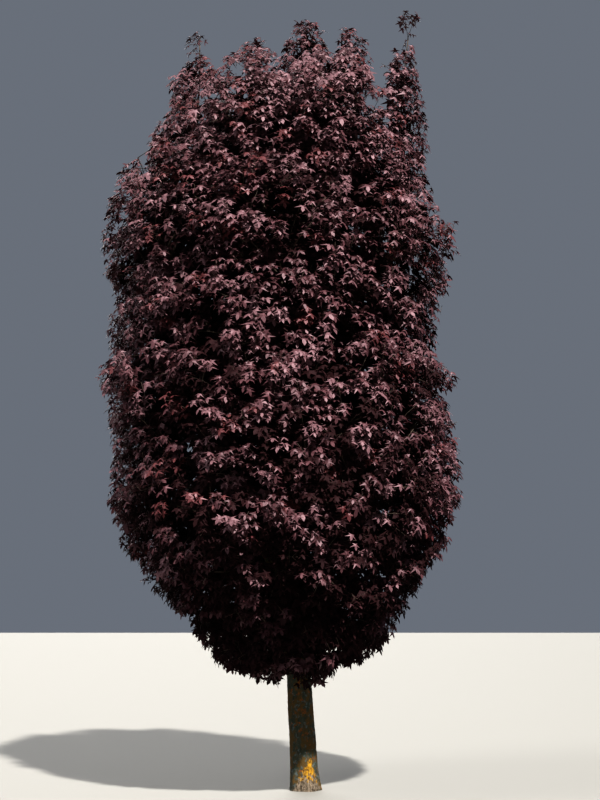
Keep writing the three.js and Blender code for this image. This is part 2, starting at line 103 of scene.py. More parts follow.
# Reach of the outermost leaves as the photo shows it: height, left side, right side
LEAF_REACH = np.array([
    (1.08, -0.42, 0.22),
    (1.23, -0.80, 0.32),
    (1.34, -1.03, 0.80),
    (1.76, -1.33, 1.02),
    (2.18, -1.75, 1.32),
    (2.61, -2.00, 1.56),
    (3.04, -2.14, 1.68),
    (3.26, -2.11, 1.70),
    (3.59, -2.08, 1.66),
    (4.03, -2.23, 1.62),
    (4.14, -2.24, 1.48),
    (4.25, -2.28, 1.62),
    (4.36, -2.31, 1.65),
    (4.59, -2.18, 1.42),
    (5.04, -2.13, 1.47),
    (5.27, -2.08, 1.54),
    (5.50, -2.22, 1.60),
    (5.73, -2.25, 1.74),
    (5.96, -2.25, 1.77),
    (6.07, -2.23, 1.64),
    (6.19, -2.21, 1.50),
    (6.30, -2.20, 1.44),
    (6.54, -2.09, 1.40),
    (6.85, -2.02, 1.40),
    (7.13, -1.73, 1.47),
    (7.27, -1.60, 1.44),
    (7.52, -1.53, 1.38),
    (7.84, -1.58, 1.32),
    (8.10, -1.45, 1.28),
    (8.70, -1.40, 1.36),
])

# The bulges at the photo's two edges are single branch ends. Between these heights the front and the
# back follow the mean reach over these steps up and down instead.
EVEN_STEPS = (-0.7, -0.45, -0.2, 0.0, 0.2, 0.45, 0.7)
EVEN_HEIGHTS = (2.3, 3.0, 6.4, 6.9)

# Rings of masses round the trunk, and the plumes over them, as in the solids
RINGS = [
    dict(name="skirt", count=5, height=2.12, zigzag=0.0, ring=0.78, turn=-90, radius=1.15, rise=1.15,
         pull=0.85, drop=0.92, step=0.045, bough=0.030, entry=0.25),
    dict(name="waist", count=6, height=3.50, zigzag=0.17, ring=1.12, turn=0, radius=1.15, rise=1.45,
         pull=0.95, drop=1.50, step=0.075, bough=0.044, entry=0.9),
    dict(name="shoulder", count=6, height=5.15, zigzag=0.17, ring=1.12, turn=30, radius=1.35, rise=1.62,
         pull=0.95, drop=1.60, step=0.090, bough=0.036, entry=0.9),
]
# A plume's tips carry tufts of leaves, its buds a pair each, and its stem is bare between two heights
PLUMES = [
    dict(name="leader", place=(1.02, 0.0, 6.55), radius=0.48, rise=0.85, drop=1.50,
         spires=[((1.09, 0.0, 7.35), 0.29, 0.60), ((1.13, 0.0, 7.85), 0.195, 0.39),
                 ((1.185, 0.0, 8.32), 0.165, 0.35)],
         fork_drop=0.32, fork=[(1.14, 0.0, 8.65), (1.29, 0.0, 8.64)], bare=(8.13, 8.75),
         tips=[(1.10, 0.0, 8.59), (1.33, 0.0, 8.58), (0.88, 0.0, 8.04)],
         buds=[(1.21, 0.0, 8.40), (1.15, 0.0, 8.31), (1.22, -0.02, 8.25), (1.14, 0.02, 8.20),
               (1.19, 0.0, 8.15)]),
    dict(name="back_right", place=(0.35, 0.88, 6.95), radius=0.59, rise=1.05, drop=1.40,
         spires=[((0.40, 0.80, 7.88), 0.26, 0.47)]),
    dict(name="back_left", place=(-0.64, 0.86, 6.95), radius=0.68, rise=1.00, drop=1.75,
         spires=[((-0.60, 0.80, 7.76), 0.26, 0.46)]),
    dict(name="left", place=(-1.23, 0.0, 6.85), radius=0.70, rise=1.15, drop=1.60,
         spires=[((-1.205, 0.0, 7.87), 0.19, 0.49)], bare=(8.06, 8.50),
         tips=[(-1.34, 0.0, 8.03), (-1.41, 0.0, 7.96), (-1.46, 0.0, 7.87), (-1.44, 0.1, 7.76),
               (-1.38, -0.1, 7.90), (-1.22, 0.0, 8.08)],
         buds=[(-1.24, 0.0, 8.41), (-1.20, -0.02, 8.36), (-1.25, 0.02, 8.34), (-1.17, 0.0, 8.31),
               (-1.31, 0.0, 8.34), (-1.32, 0.0, 8.27), (-1.23, -0.03, 8.28), (-1.26, 0.0, 8.22),
               (-1.31, 0.0, 8.17), (-1.20, 0.0, 8.15)]),
    dict(name="front_left", place=(-0.60, -0.82, 6.90), radius=0.68, rise=0.95, drop=1.30,
         spires=[((-0.52, -0.69, 7.60), 0.245, 0.42)]),
    dict(name="front_right", place=(0.29, -0.84, 6.90), radius=0.59, rise=1.00, drop=1.80,
         spires=[((0.40, -0.69, 7.74), 0.27, 0.43)],
         tips=[(0.42, -0.69, 8.12), (0.52, -0.69, 8.14), (0.57, -0.70, 8.02), (0.66, -0.69, 7.90),
               (0.72, -0.68, 7.80), (0.62, -0.66, 7.70)]),
    dict(name="centre", place=(0.01, 0.04, 7.25), radius=0.56, rise=1.06, drop=1.00,
         spires=[((0.02, -0.01, 8.10), 0.30, 0.46)],
         tips=[(0.0, 0.0, 8.56), (-0.07, -0.05, 8.50), (0.08, -0.05, 8.47), (0.16, -0.08, 8.36),
               (-0.02, -0.12, 8.38), (0.10, -0.15, 8.30)]),
]

# Openings that the sky shows through, as the camera sees them at the trunk's distance: x, height, and
# half the width and height of each. Their edge is ragged by two waves.
SKY_OPENINGS = [
    (0.31, 8.47, 0.12, 0.31), (0.91, 8.18, 0.10, 0.24), (0.86, 7.82, 0.10, 0.08),
    (0.74, 7.60, 0.06, 0.08), (0.89, 7.57, 0.08, 0.08), (0.89, 7.35, 0.06, 0.06),
    (1.25, 7.44, 0.03, 0.05), (-1.01, 8.30, 0.13, 0.22), (-1.07, 8.06, 0.05, 0.08),
    (-0.78, 7.97, 0.10, 0.08), (-0.84, 7.72, 0.05, 0.045), (-1.20, 7.60, 0.07, 0.06),
    (-1.01, 7.66, 0.05, 0.045), (-0.83, 7.46, 0.06, 0.045), (-0.68, 7.64, 0.045, 0.06),
    (-1.20, 7.42, 0.05, 0.045), (-1.83, 7.01, 0.06, 0.35), (-1.96, 7.05, 0.15, 0.14),
    (1.56, 6.42, 0.11, 0.22),
]
OPENING_RAGGED = 0.7
OPENING_WAVES = (70.0, 52.0)

# Spaces of the masses: how hard a lobe pulls on its neighbours, and how far apart two masses stay
PLUME_PULL = 0.74
SPIRE_PULL = 0.52
STRETCH = 1.9
WALL = 0.008
GROOVE = 0.02
REACH_STEP = 0.015
REACH_STEPS = 400

# Boughs: the bend of their curve, and the place where they enter a mass
PLUME_BOUGH_RADIUS = 0.027
PLUME_ENTRY_DOWN = 0.9
BOUGH_TIP_SHARE = 0.42
BOUGH_BEND_OUT = 0.62
BOUGH_BEND_UP = 0.3
ENTRY_INWARD = 0.5
ENTRY_GAP = 0.05
CORE_TO_AIR = 0.82
CORE_TO_WALL = 0.9
CORE_INWARD_CUT = 0.45

# Bark relief: long ridges, fine cracks and soft lumps, less of them on a thin limb
RIDGE_SCALE = (38, 38, 9.0)
CRACK_SCALE = (95, 95, 45.0)
LUMP_SCALE = (7, 7, 3.0)
BARK_RIDGE = 0.0045
RIDGE_FALL = 2.2
CRACK_SHARE = 0.5
BARK_LUMP = 0.005
RELIEF_FULL_RADIUS = 0.1
TRUNK_SIDES = 100
TRUNK_RINGS = 300
TRUNK_RINGS_LOW = 1.35
BOUGH_SIDES = 12
BOUGH_RINGS = 32

# Twigs: first the carrying ones, then the foot of each spray, from the outer layer to the inner one.
# A layer lies at some depth under the outside, and its places are spaced out across and upright.
CARRYING = dict(across=0.42, upright=0.42, depth=(0.26, 0.60), candidates=6000)
SPRAYS = [
    dict(across=0.180, upright=0.175, depth=(0.045, 0.20), candidates=44000, shoots=4, spread=0.085,
         leaf=1.0, outer=True),
    dict(across=0.25, upright=0.24, depth=(0.22, 0.42), candidates=18000, shoots=4, spread=0.11,
         leaf=1.15, outer=False),
    dict(across=0.32, upright=0.30, depth=(0.44, 0.80), candidates=9000, shoots=3, spread=0.13,
         leaf=1.7, outer=False),
]
LONE_SHOOTS = dict(across=0.20, upright=0.20, depth=(0.0, 0.07), candidates=16000)
FULL_RADIUS = 0.5
LEAST_SPACING = 0.35
LEAST_SHOOTS = 2
SPRAY_SLOPE = 2.6
SPRAY_LOOSE = 0.05
SHOOT_INSIDE = 0.01
GOLDEN_ANGLE = math.pi * (3 - math.sqrt(5))

# Hollows in the crown, notches between branch ends low down, and gaps among the plumes
HOLLOW_SCALE = (2.3, 2.3, 0.95)
HOLLOW_ABOVE = (0.15, 0.60)
HOLLOW_SIDES = (0.70, 0.88)
BRANCH_END = 0.03
NOTCH_DEPTH = 0.24
NOTCH_HEIGHTS = (6.5, 7.1)
NOTCH_SCALE = (2.1, 2.1, 3.1)
NOTCH_MIDDLE = 0.12
NOTCH_SEEN = 0.6
GAP_SCALE = (4.6, 4.6, 3.0)
GAP_ABOVE = (0.9, 0.12)
GAP_HEIGHTS = (7.1, 8.0)

# Branching: the way of a twig, and how thick it is for the shoots that it carries
TIP_DROP = 0.06
TIP_STEM_DROP = 0.10
BRANCH_STEP = 0.14
BRANCH_BALANCE = 0.3
TWIG_ARCH = 0.05
STEM_LEAST_RADIUS = 0.007
STEM_TO_LIMB = 0.85
TWIG_TIP_RADIUS = 0.0022
TWIG_PIPE_POWER = 0.42
STEM_SIDES = 7
TWIG_SIDES = 3
# A tube's sides are counted from the x axis, unless its start runs along that by this share or more
ALONG_X = 0.8

# Leaves: length of a blade from its stalk to its tip, and how many crossed pairs a shoot has
LEAF_LENGTH = 0.082
LEAF_SPREAD = 0.15
FIRST_LEAF = 0.85
PAIRS = 2
LONE_PAIRS = 3
TIP_PAIRS = 4
TIP_LEAF = 0.85
TIP_STALK = 0.5
BUD_PAIRS = 1
BUD_LEAF = 1.05
SPIRE_LEAF = 0.65
PLUME_LEAF_OUTSIDE = 0.05
PAIR_SPACING = 0.04
PAIR_TURN = 0.35
STALK_LENGTH = (0.035, 0.08)
STALK_WIDTH = 0.003
FIRST_STALK = 0.75

# Ways that shoots and leaves take, as shares of the directions that the functions name
SHOOT_WAY = (1.0, 0.35, 0.55)
STALK_WAY = (0.9, 0.30, 0.10)
BLADE_WAY = (0.36, 0.56, -0.70, 0.18)
BLADE_FACE = (0.54, 0.82, 0.32, 0.26)
TO_THE_LIGHT = np.array((0.15, -0.65, 0.0))
# These keep the cross product of two vertical directions from being zero
SPRAY_NUDGE = 1e-3
SHOOT_NUDGE = 1e-4

# Half outline of a blade, across and along, for a length of 1: five pointed lobes. The inner leaves,
# which are seen only through gaps, have a plainer one.
LEAF_HALF_OUTLINE = [(0.48, -0.18), (0.22, 0.10), (0.84, 0.46), (0.17, 0.37), (0.20, 0.68)]
INNER_HALF_OUTLINE = [(0.46, -0.10), (0.76, 0.44), (0.22, 0.46)]
LEAF_MIDDLE = (0.0, 0.30)
LEAF_DOME = 0.34
LEAF_FOLD = 0.10

# Leaf tints: name, dark and light tone, roughness, gloss, and share of the outer and of the inner sprays.
# The darkest tint, and the inner sprays' tints, are painted shade.
LEAF_TINTS = [
    ("leaf_shade", (0.016, 0.006, 0.007), (0.030, 0.012, 0.013), 0.65, 0.15, 0.00, 0.80),
    ("leaf_maroon", (0.037, 0.013, 0.016), (0.076, 0.031, 0.036), 0.50, 0.55, 0.28, 0.20),
    ("leaf_purple", (0.065, 0.026, 0.031), (0.122, 0.055, 0.063), 0.50, 0.55, 0.36, 0.00),
    # The pale mauve tint is painted sheen: the sky light that glossy leaves give back
    ("leaf_mauve_painted_sheen", (0.112, 0.056, 0.065), (0.188, 0.106, 0.119), 0.54, 0.55, 0.24, 0.00),
    # The wine-red tint is partly the leaves' own red and partly a painted glow of sun shining through them
    ("leaf_wine_and_painted_glow", (0.070, 0.018, 0.019), (0.124, 0.038, 0.040), 0.50, 0.55, 0.11, 0.00),
]
STALK_TINT = ("leaf_stalk", (0.060, 0.014, 0.016), (0.110, 0.030, 0.030), 0.50, 0.55)
LEAF_GLOSS_TINT = (1.0, 0.77, 0.84)
# Painted shade: low down most of the outer sprays take the inner ones' dark tints, and higher up none of
# them
LOW_SHADE_HEIGHTS = (1.5, 4.6)
LOW_SHADE = 0.95

# Tones of the bark's streaks, each with the noise it stands at, and of the film and lichens over them
BARK_TONES = [(0.30, (0.023, 0.023, 0.015)), (0.50, (0.050, 0.051, 0.034)), (0.70, (0.092, 0.092, 0.064))]
TWIG_TONES = [(0.35, (0.040, 0.028, 0.022)), (0.65, (0.105, 0.080, 0.062))]
GREEN_FILM = (0.043, 0.058, 0.040)
GREY_LICHEN = (0.098, 0.122, 0.118)
RUST_LICHEN = (0.100, 0.063, 0.018)
ORANGE_LICHEN = (0.20, 0.076, 0.017)

# Painted patch of sunlight at the trunk's foot: a leaning wedge of sunlit bark, with yellow lichen in its
# upper part whose bright tones are also painted sunlight
SUNLIT_BARK_TONES = [(0.37, (0.034, 0.025, 0.016)), (0.46, (0.115, 0.090, 0.062)), (0.60, (0.25, 0.205, 0.155))]
SUNLIT_LICHEN_TONES = [(0.38, (0.060, 0.032, 0.010)), (0.46, (0.25, 0.135, 0.016)), (0.58, (0.50, 0.28, 0.018))]
PATCH_MIDDLE = 0.005
PATCH_LEAN = 0.15
PATCH_TOP = 0.33
PATCH_HALF = 0.45
PATCH_RAGGED = 0.16
PATCH_EDGE = (0.072, 0.088)
PATCH_BACK = (0.12, 0.08)
PATCH_BACK_RAGGED = 0.12
PATCH_LICHEN_RISE = 1.8
PATCH_LICHEN_FROM = 0.14
PATCH_LICHEN_EDGE = (0.50, 0.53)

# Stage: a pale floor, a pale sky and three suns, each with the direction to it and its width in radians
FLOOR_REACH = 60.0
FLOOR_TONE = (0.255, 0.255, 0.24)
FLOOR_ROUGHNESS = 0.8
SKY_TONE = (0.78, 0.86, 1.0, 1)
SKY_STRENGTH = 0.19
SUNS = [
    dict(name="key", place=(0.26, -0.53, 0.807), strength=5.6, width=0.04, tone=(1.0, 0.95, 0.90)),
    dict(name="fill", place=(-0.60, -0.24, 0.763), strength=0.8, width=0.4, tone=(1.0, 0.96, 0.93)),
    dict(name="back", place=(-0.15, 0.86, 0.48), strength=1.7, width=0.9, tone=(1.0, 0.97, 0.94)),
]


def unit(vectors):
    length = np.linalg.norm(vectors, axis=-1, keepdims=True)
    return vectors / np.maximum(length, 1e-9)


def leaning(shares, *directions):
    """Sum of directions, each by its share."""
    return sum(share * direction for share, direction in zip(shares, directions))


def noise_at(place, scale):
    return noise.noise(Vector([value * factor for value, factor in zip(place, scale)]))


# Trunk and crown
def axis_table():
    """The trunk's axis as a fine table, from the same smooth curve as the solids."""
    points = [np.array(place, float) for place in TRUNK_AXIS]
    points = [2 * points[0] - points[1]] + points + [2 * points[-1] - points[-2]]
    rows = []
    for k in range(len(points) - 3):
        p0, p1, p2, p3 = points[k:k + 4]
        d0, d1, d2 = (math.sqrt(np.linalg.norm(b - a)) for a, b in ((p0, p1), (p1, p2), (p2, p3)))
        start = ((p1 - p0) / d0 - (p2 - p0) / (d0 + d1) + (p2 - p1) / d1) * d1
        end = ((p2 - p1) / d1 - (p3 - p1) / (d1 + d2) + (p3 - p2) / d2) * d1
        for t in np.linspace(0, 1, AXIS_STEPS, endpoint=False):
            rows.append(p1 + start * t + (3 * (p2 - p1) - 2 * start - end) * t ** 2
                        + (2 * (p1 - p2) + start + end) * t ** 3)
    rows.append(points[-2])
    return np.array(rows)


AXIS = axis_table()


def trunk_centre(height):
    return np.array([
        np.interp(height, AXIS[:, 2], AXIS[:, 0]), np.interp(height, AXIS[:, 2], AXIS[:, 1]), height,
    ])


def trunk_radius(height, angle):
    left = max(0.0, 1 - height / TRUNK_TOP)
    shaft = TRUNK_TIP_RADIUS + (TRUNK_FOOT_RADIUS - TRUNK_TIP_RADIUS) * left ** TRUNK_TAPER
    lobe = 1 + FLARE_LOBE_SHARE * math.cos(FLARE_LOBES * angle)
    return shaft + FLARE_RADIUS * math.exp(-height / FLARE_HEIGHT) * lobe


def crown_at(height):
    half = np.interp(height, CROWN_OUTLINE[:, 0], CROWN_OUTLINE[:, 1])
    middle = np.interp(height, CROWN_OUTLINE[:, 0], CROWN_OUTLINE[:, 2])
    return half, middle


def crown_depth(places):
    """How far places lie inside the crown's outline, less than nothing where they are outside."""
    half, middle = crown_at(places[:, 2])
    depth = half - np.hypot(places[:, 0] - middle, places[:, 1])
    return np.where(places[:, 2] < CROWN_OUTLINE[0, 0], -1.0, depth)


def reach_at(height):
    """Half the width over the outermost leaves, and where its middle is."""
    left = np.interp(height, LEAF_REACH[:, 0], LEAF_REACH[:, 1])
    right = np.interp(height, LEAF_REACH[:, 0], LEAF_REACH[:, 2])
    return (right - left) / 2, (left + right) / 2


def leaf_depth(places):
    """How far places lie inside the reach of the outermost leaves, which is less between branch ends."""
    height = places[:, 2]
    half, middle = reach_at(height)
    across = places[:, 0] - middle
    distance = np.maximum(np.hypot(across, places[:, 1]), 1e-6)
    even = np.mean([reach_at(height + step)[0] for step in EVEN_STEPS], axis=0)
    towards_viewer = 1 - (across / distance) ** 2
    half = half + (even - half) * towards_viewer * np.interp(height, EVEN_HEIGHTS, (0, 1, 1, 0))
    depth = np.minimum(half - distance, height - LEAF_REACH[0, 0])
    notched = np.interp(height, NOTCH_HEIGHTS, (1, 0))
    depth += BRANCH_END * notched
    near = np.flatnonzero((depth > 0) & (depth < NOTCH_SEEN) & (notched > 0))
    notches = np.array([noise_at(place, NOTCH_SCALE) for place in places[near]])
    depth[near] -= NOTCH_DEPTH * notched[near] * np.clip(NOTCH_MIDDLE + notches, 0, 1)
    return depth


# Masses and their spaces
def new_mass(name, group, lobes, **facts):
    """A mass of foliage. Only a plume has shoots of its own, which facts then give."""
    none = dict(tips=[], buds=[], fork=[], bare=(0, 0))
    return none | dict(name=f"{group}_{name}", group=group, lobes=lobes) | facts


def ring_masses(ring):
    for k in range(ring["count"]):
        angle = math.radians(ring["turn"] + 360 * k / ring["count"])
        height = ring["height"] + (ring["zigzag"] if k % 2 else -ring["zigzag"])
        middle = crown_at(height)[1]
        place = (middle + ring["ring"] * math.cos(angle), ring["ring"] * math.sin(angle), height)
        yield new_mass(
            k + 1, ring["name"], [(np.array(place), ring["radius"], ring["rise"], ring["pull"])],
            root=ring["height"] - ring["drop"] + ring["step"] * ((k * 2) % ring["count"]),
            bough=ring["bough"], entry=ring["entry"],
        )


def plume_mass(plume):
    lobes = [(np.array(plume["place"]), plume["radius"], plume["rise"], PLUME_PULL)]
    lobes += [(np.array(place), radius, rise, SPIRE_PULL) for place, radius, rise in plume["spires"]]
    top = lobes[-1][0] + (0, 0, lobes[-1][2] - TIP_DROP)
    return new_mass(
        plume["name"], "plume", lobes, root=plume["place"][2] - plume["drop"],
        bough=PLUME_BOUGH_RADIUS, entry=PLUME_ENTRY_DOWN, tips=plume.get("tips", [top]),
        buds=plume.get("buds", []), bare=plume.get("bare", (0, 0)),
        fork=plume.get("fork", []), fork_drop=plume.get("fork_drop", TIP_STEM_DROP),
    )


MASSES = [mass for ring in RINGS for mass in ring_masses(ring)] + [plume_mass(plume) for plume in PLUMES]
CENTRE_MASS = MASSES[-1]

# Neighbouring masses whose twigs, and whose leaves, are joined into one piece each
BATCHES = {
    "skirt": MASSES[:5],
    "waist_right": MASSES[5:8],
    "waist_left": MASSES[8:11],
    "shoulder_right": MASSES[11:14],
    "shoulder_left": MASSES[14:17],
    "plumes_outer": MASSES[17:21],
    "plumes_inner": MASSES[21:],
}


def claim(lobe, places):
    """How far places are from a lobe's middle, squared, less its pull: the least claim wins."""
    centre, _, _, pull = lobe
    apart = places - centre
    return apart[:, 0] ** 2 + apart[:, 1] ** 2 + (apart[:, 2] / STRETCH) ** 2 - pull ** 2


def own_side(mass, places, wall=WALL):
    """Which places lie on the mass's own side of every neighbour."""
    own = [claim(lobe, places) for lobe in mass["lobes"]]
    keep = np.ones(len(places), bool)
    for other in MASSES:
        if other is mass:
            continue
        for foreign in other["lobes"]:
            theirs = claim(foreign, places)
            beats = np.zeros(len(places), bool)
            for lobe, ours in zip(mass["lobes"], own):
                apart = foreign[0] - lobe[0]
                gap = 2 * math.hypot(apart[0], apart[1], apart[2] / STRETCH) * wall
                beats |= ours < theirs - gap
            keep &= beats
    return keep


def lobe_depth(mass, places):
    """Depth under the outside of the mass's own lobes, and the radius of the lobe that it is under."""
    deepest = np.full(len(places), -1.0)
    radii = np.full(len(places), mass["lobes"][0][1])
    for centre, radius, rise, _ in mass["lobes"]:
        apart = places - centre
        share = np.sqrt((apart[:, 0] ** 2 + apart[:, 1] ** 2) / radius ** 2 + (apart[:, 2] / rise) ** 2)
        depth = (1 - share) * radius
        radii = np.where(depth > deepest, radius, radii)
        deepest = np.maximum(deepest, depth)
    return deepest, radii


def reach_of(mass, direction):
    """Distance from the main lobe's centre to the end of the mass's space, and whether air lies there."""
    distances = np.arange(1, REACH_STEPS) * REACH_STEP
    places = mass["lobes"][0][0] + distances[:, None] * direction
    walled = ~own_side(mass, places)
    open_air = np.minimum(lobe_depth(mass, places)[0], crown_depth(places)) < 0
    stop = int(np.argmax(walled | open_air))
    return distances[stop] - REACH_STEP, not walled[stop]


# Boughs
def bough_path(mass):
    """Three points of the bough's curve, the last where its mass's stem takes over."""
    centre, radius = mass["lobes"][0][:2]
    root = trunk_centre(mass["root"])
    inward = unit(np.array((root[0] - centre[0], root[1] - centre[1], 0)))
    back = unit(inward * ENTRY_INWARD - UP * mass["entry"])
    distance, air = reach_of(mass, back)
    level = trunk_centre(centre[2]) - centre
    level[2] = 0
    facing = float(unit(level) @ back) if np.linalg.norm(level) > radius / 2 else 0.0
    share = (CORE_TO_AIR if air else CORE_TO_WALL) - CORE_INWARD_CUT * max(0.0, facing)
    end = centre + back * (distance * share + ENTRY_GAP)
    bend = root + (end - root) * BOUGH_BEND_OUT
    bend[2] = root[2] + (end[2] - root[2]) * BOUGH_BEND_UP
    return root, bend, end


def curve_points(path, count):
    root, bend, end = path
    t = np.linspace(0, 1, count)[:, None]
    return (1 - t) ** 2 * root + 2 * t * (1 - t) * bend + t ** 2 * end


for mass in MASSES:
    if mass is CENTRE_MASS:
        mass.update(foot=trunk_centre(TRUNK_TOP), tip=TRUNK_TIP_RADIUS)
    else:
        path = bough_path(mass)
        mass.update(path=path, foot=path[-1], tip=mass["bough"] * BOUGH_TIP_SHARE)


# Meshes
def new_mesh(name, vertices, faces, materials, indices=None, smooth=True):
    """A mesh object from arrays of vertices and of triangles or quads."""
    mesh = bpy.data.meshes.new(name)
    corners = faces.shape[1]
    mesh.vertices.add(len(vertices))
    mesh.vertices.foreach_set("co", np.asarray(vertices, np.float32).ravel())
    mesh.loops.add(faces.size)
    mesh.loops.foreach_set("vertex_index", np.asarray(faces, np.int32).ravel())
    mesh.polygons.add(len(faces))
    mesh.polygons.foreach_set("loop_start", np.arange(0, faces.size, corners, dtype=np.int32))
    for material in materials:
        mesh.materials.append(material)
    if indices is not None:
        mesh.polygons.foreach_set("material_index", np.asarray(indices, np.int32))
    mesh.polygons.foreach_set("use_smooth", np.full(len(faces), smooth))
    mesh.update(calc_edges=True)
    piece = bpy.data.objects.new(name, mesh)
    bpy.context.scene.collection.objects.link(piece)
    return piece


def joined(parts):
    """One set of vertices and faces from several."""
    vertices = np.vstack([part[0] for part in parts])
    starts = np.cumsum([0] + [len(part[0]) for part in parts[:-1]])
    faces = np.vstack([part[1] + start for part, start in zip(parts, starts)])
    return vertices, faces


def closed_tube(rings, first, last):
    """Vertices and triangles of a tube through rings of places, its ends closed by fans round a middle."""
    count, sides = rings.shape[:2]
    rows, columns = np.meshgrid(np.arange(count - 1), np.arange(sides), indexing="ij")
    a = (rows * sides + columns).ravel()
    b = (rows * sides + (columns + 1) % sides).ravel()
    vertices = rings.reshape(-1, 3)
    faces = [np.stack([a, b, b + sides], 1), np.stack([a, b + sides, a + sides], 1)]
    end = (count - 1) * sides
    if sides == 3:
        faces += [np.array([[0, 2, 1]]), np.array([[end, end + 1, end + 2]])]
    else:
        fan = np.arange(sides)
        middle = np.full(sides, len(vertices))
        vertices = np.vstack([vertices, first, last])
        faces += [
            np.stack([middle, (fan + 1) % sides, fan], 1),
            np.stack([middle + 1, end + fan, end + (fan + 1) % sides], 1),
        ]
    return vertices, np.vstack(faces)


def tube(points, radii, sides):
    """A closed tube along points, with one radius for each point, or one for each side of each."""
    heading = unit(np.gradient(points, axis=0))
    level = np.array((1.0, 0.0, 0.0)) if abs(heading[0][0]) < ALONG_X else np.array((0.0, 1.0, 0.0))
    across = unit(np.cross(heading, level))
    upright = np.cross(heading, across)
    angles = np.arange(sides) * 2 * math.pi / sides
    ring = (np.cos(angles)[None, :, None] * across[:, None, :]
            + np.sin(angles)[None, :, None] * upright[:, None, :])
    radii = radii.reshape(len(points), -1)[:, :, None]
    return closed_tube(points[:, None, :] + ring * radii, points[0], points[-1])


def bark_relief(place, radius):
    """Height of the bark over the limb's own round at a place: long shallow ridges and soft lumps."""
    ridge = (1 - abs(noise_at(place, RIDGE_SCALE)) * RIDGE_FALL) * BARK_RIDGE
    cracks = noise_at(place, CRACK_SCALE) * BARK_RIDGE * CRACK_SHARE
    lumps = noise_at(place, LUMP_SCALE) * BARK_LUMP
    return min(1.0, radius / RELIEF_FULL_RADIUS) * (ridge + cracks + lumps)


def rough_radii(middles, radii, angles):
    """A limb's radii at each angle of each ring, with the bark's relief added."""
    rough = np.empty(radii.shape)
    for row, (x, y, height) in enumerate(middles):
        for column, angle in enumerate(angles):
            radius = radii[row, column]
            place = (x + math.cos(angle) * radius, y + math.sin(angle) * radius, height)
            rough[row, column] = radius + bark_relief(place, radius)
    return rough


def trunk_piece(material):
    heights = TRUNK_TOP * np.linspace(0, 1, TRUNK_RINGS) ** TRUNK_RINGS_LOW
    angles = np.arange(TRUNK_SIDES) * 2 * math.pi / TRUNK_SIDES
    centres = np.array([trunk_centre(height) for height in heights])
    radii = np.array([[trunk_radius(height, angle) for angle in angles] for height in heights])
    radii = rough_radii([(0, 0, height) for height in heights], radii, angles)
    rings = np.empty((TRUNK_RINGS, TRUNK_SIDES, 3))
    rings[:, :, 0] = centres[:, None, 0] + np.cos(angles) * radii
    rings[:, :, 1] = centres[:, None, 1] + np.sin(angles) * radii
    rings[:, :, 2] = heights[:, None]
    return new_mesh("trunk_bark", *closed_tube(rings, centres[0], centres[-1]), [material])


def bough_tube(mass):
    points = curve_points(mass["path"], BOUGH_RINGS)
    radii = mass["bough"] * (1 + (BOUGH_TIP_SHARE - 1) * np.linspace(0, 1, BOUGH_RINGS))
    angles = np.arange(BOUGH_SIDES) * 2 * math.pi / BOUGH_SIDES
    rough = rough_radii(points, np.repeat(radii[:, None], BOUGH_SIDES, 1), angles)
    return tube(points, rough, BOUGH_SIDES)


# Growing: each target joins the branching where the way from the stem's foot is short
class Branching:
    def __init__(self, mass):
        self.mass = mass
        self.places = mass["foot"][None, :]
        self.lengths = np.zeros(1)
        self.parents = np.array([-1])
        self.twigs = []
        self.shoots = []
        self.grow_stem()

    def grow_stem(self):
        """From the foot through the middle of each lobe, and on to the top of a plume's last one."""
        lobes = self.mass["lobes"]
        stops = [lobe[0] for lobe in lobes]
        if len(lobes) > 1:
            stops.append(lobes[-1][0] + UP * (lobes[-1][2] - self.mass["fork_drop"]))
        top = 0
        for stop in stops:
            top = self.add_twig(top, stop)
        self.stem_nodes = len(self.places)

    def add_twig(self, parent, target):
        """Adds a twig's points after its first as nodes, each the child of the one before."""
        points = arched_line(self.places[parent], target)
        first = len(self.places)
        steps = np.linalg.norm(np.diff(points, axis=0), axis=1)
        self.places = np.vstack([self.places, points[1:]])
        self.lengths = np.concatenate([self.lengths, self.lengths[parent] + np.cumsum(steps)])
        indices = np.arange(first, first + len(points) - 1)
        self.parents = np.concatenate([self.parents, [parent], indices[:-1]])
        self.twigs.append((parent, indices))
        return indices[-1]

    def join(self, target):
        cost = np.linalg.norm(self.places - target, axis=1) + BRANCH_BALANCE * self.lengths
        return self.add_twig(int(np.argmin(cost)), target)

    def add_shoot(self, target, tint, pairs, leaf, outer, tip=False):
        self.shoots.append((self.join(target), tint, pairs, leaf, outer, tip))

    def add_fork(self, target, tint):
        """A shoot straight from the top of the stem, as where a leading shoot forks."""
        end = self.add_twig(self.stem_nodes - 1, target)
        self.shoots.append((end, tint, TIP_PAIRS, TIP_LEAF, True, True))

    def radii(self):
        """Pipe rule: a limb is as thick as the shoots that it carries need."""
        carried = np.zeros(len(self.places))
        for end, *_ in self.shoots:
            carried[end] += 1
        for node in range(len(self.places) - 1, 0, -1):
            carried[self.parents[node]] += carried[node]
        radii = TWIG_TIP_RADIUS * np.maximum(carried, 1) ** TWIG_PIPE_POWER
        radii[:self.stem_nodes] = np.maximum(radii[:self.stem_nodes], STEM_LEAST_RADIUS)
        return np.minimum(radii, self.mass["tip"] * STEM_TO_LIMB)


def arched_line(start, stop):
    length = np.linalg.norm(stop - start)
    steps = max(1, round(length / BRANCH_STEP))
    t = np.linspace(0, 1, steps + 1)[:, None]
    arch = 4 * t * (1 - t) * TWIG_ARCH * length
    return start + (stop - start) * t + arch * UP


def mass_box(mass):
    low = np.min([centre - (radius, radius, rise) for centre, radius, rise, _ in mass["lobes"]], axis=0)
    high = np.max([centre + (radius, radius, rise) for centre, radius, rise, _ in mass["lobes"]], axis=0)
    return low, high


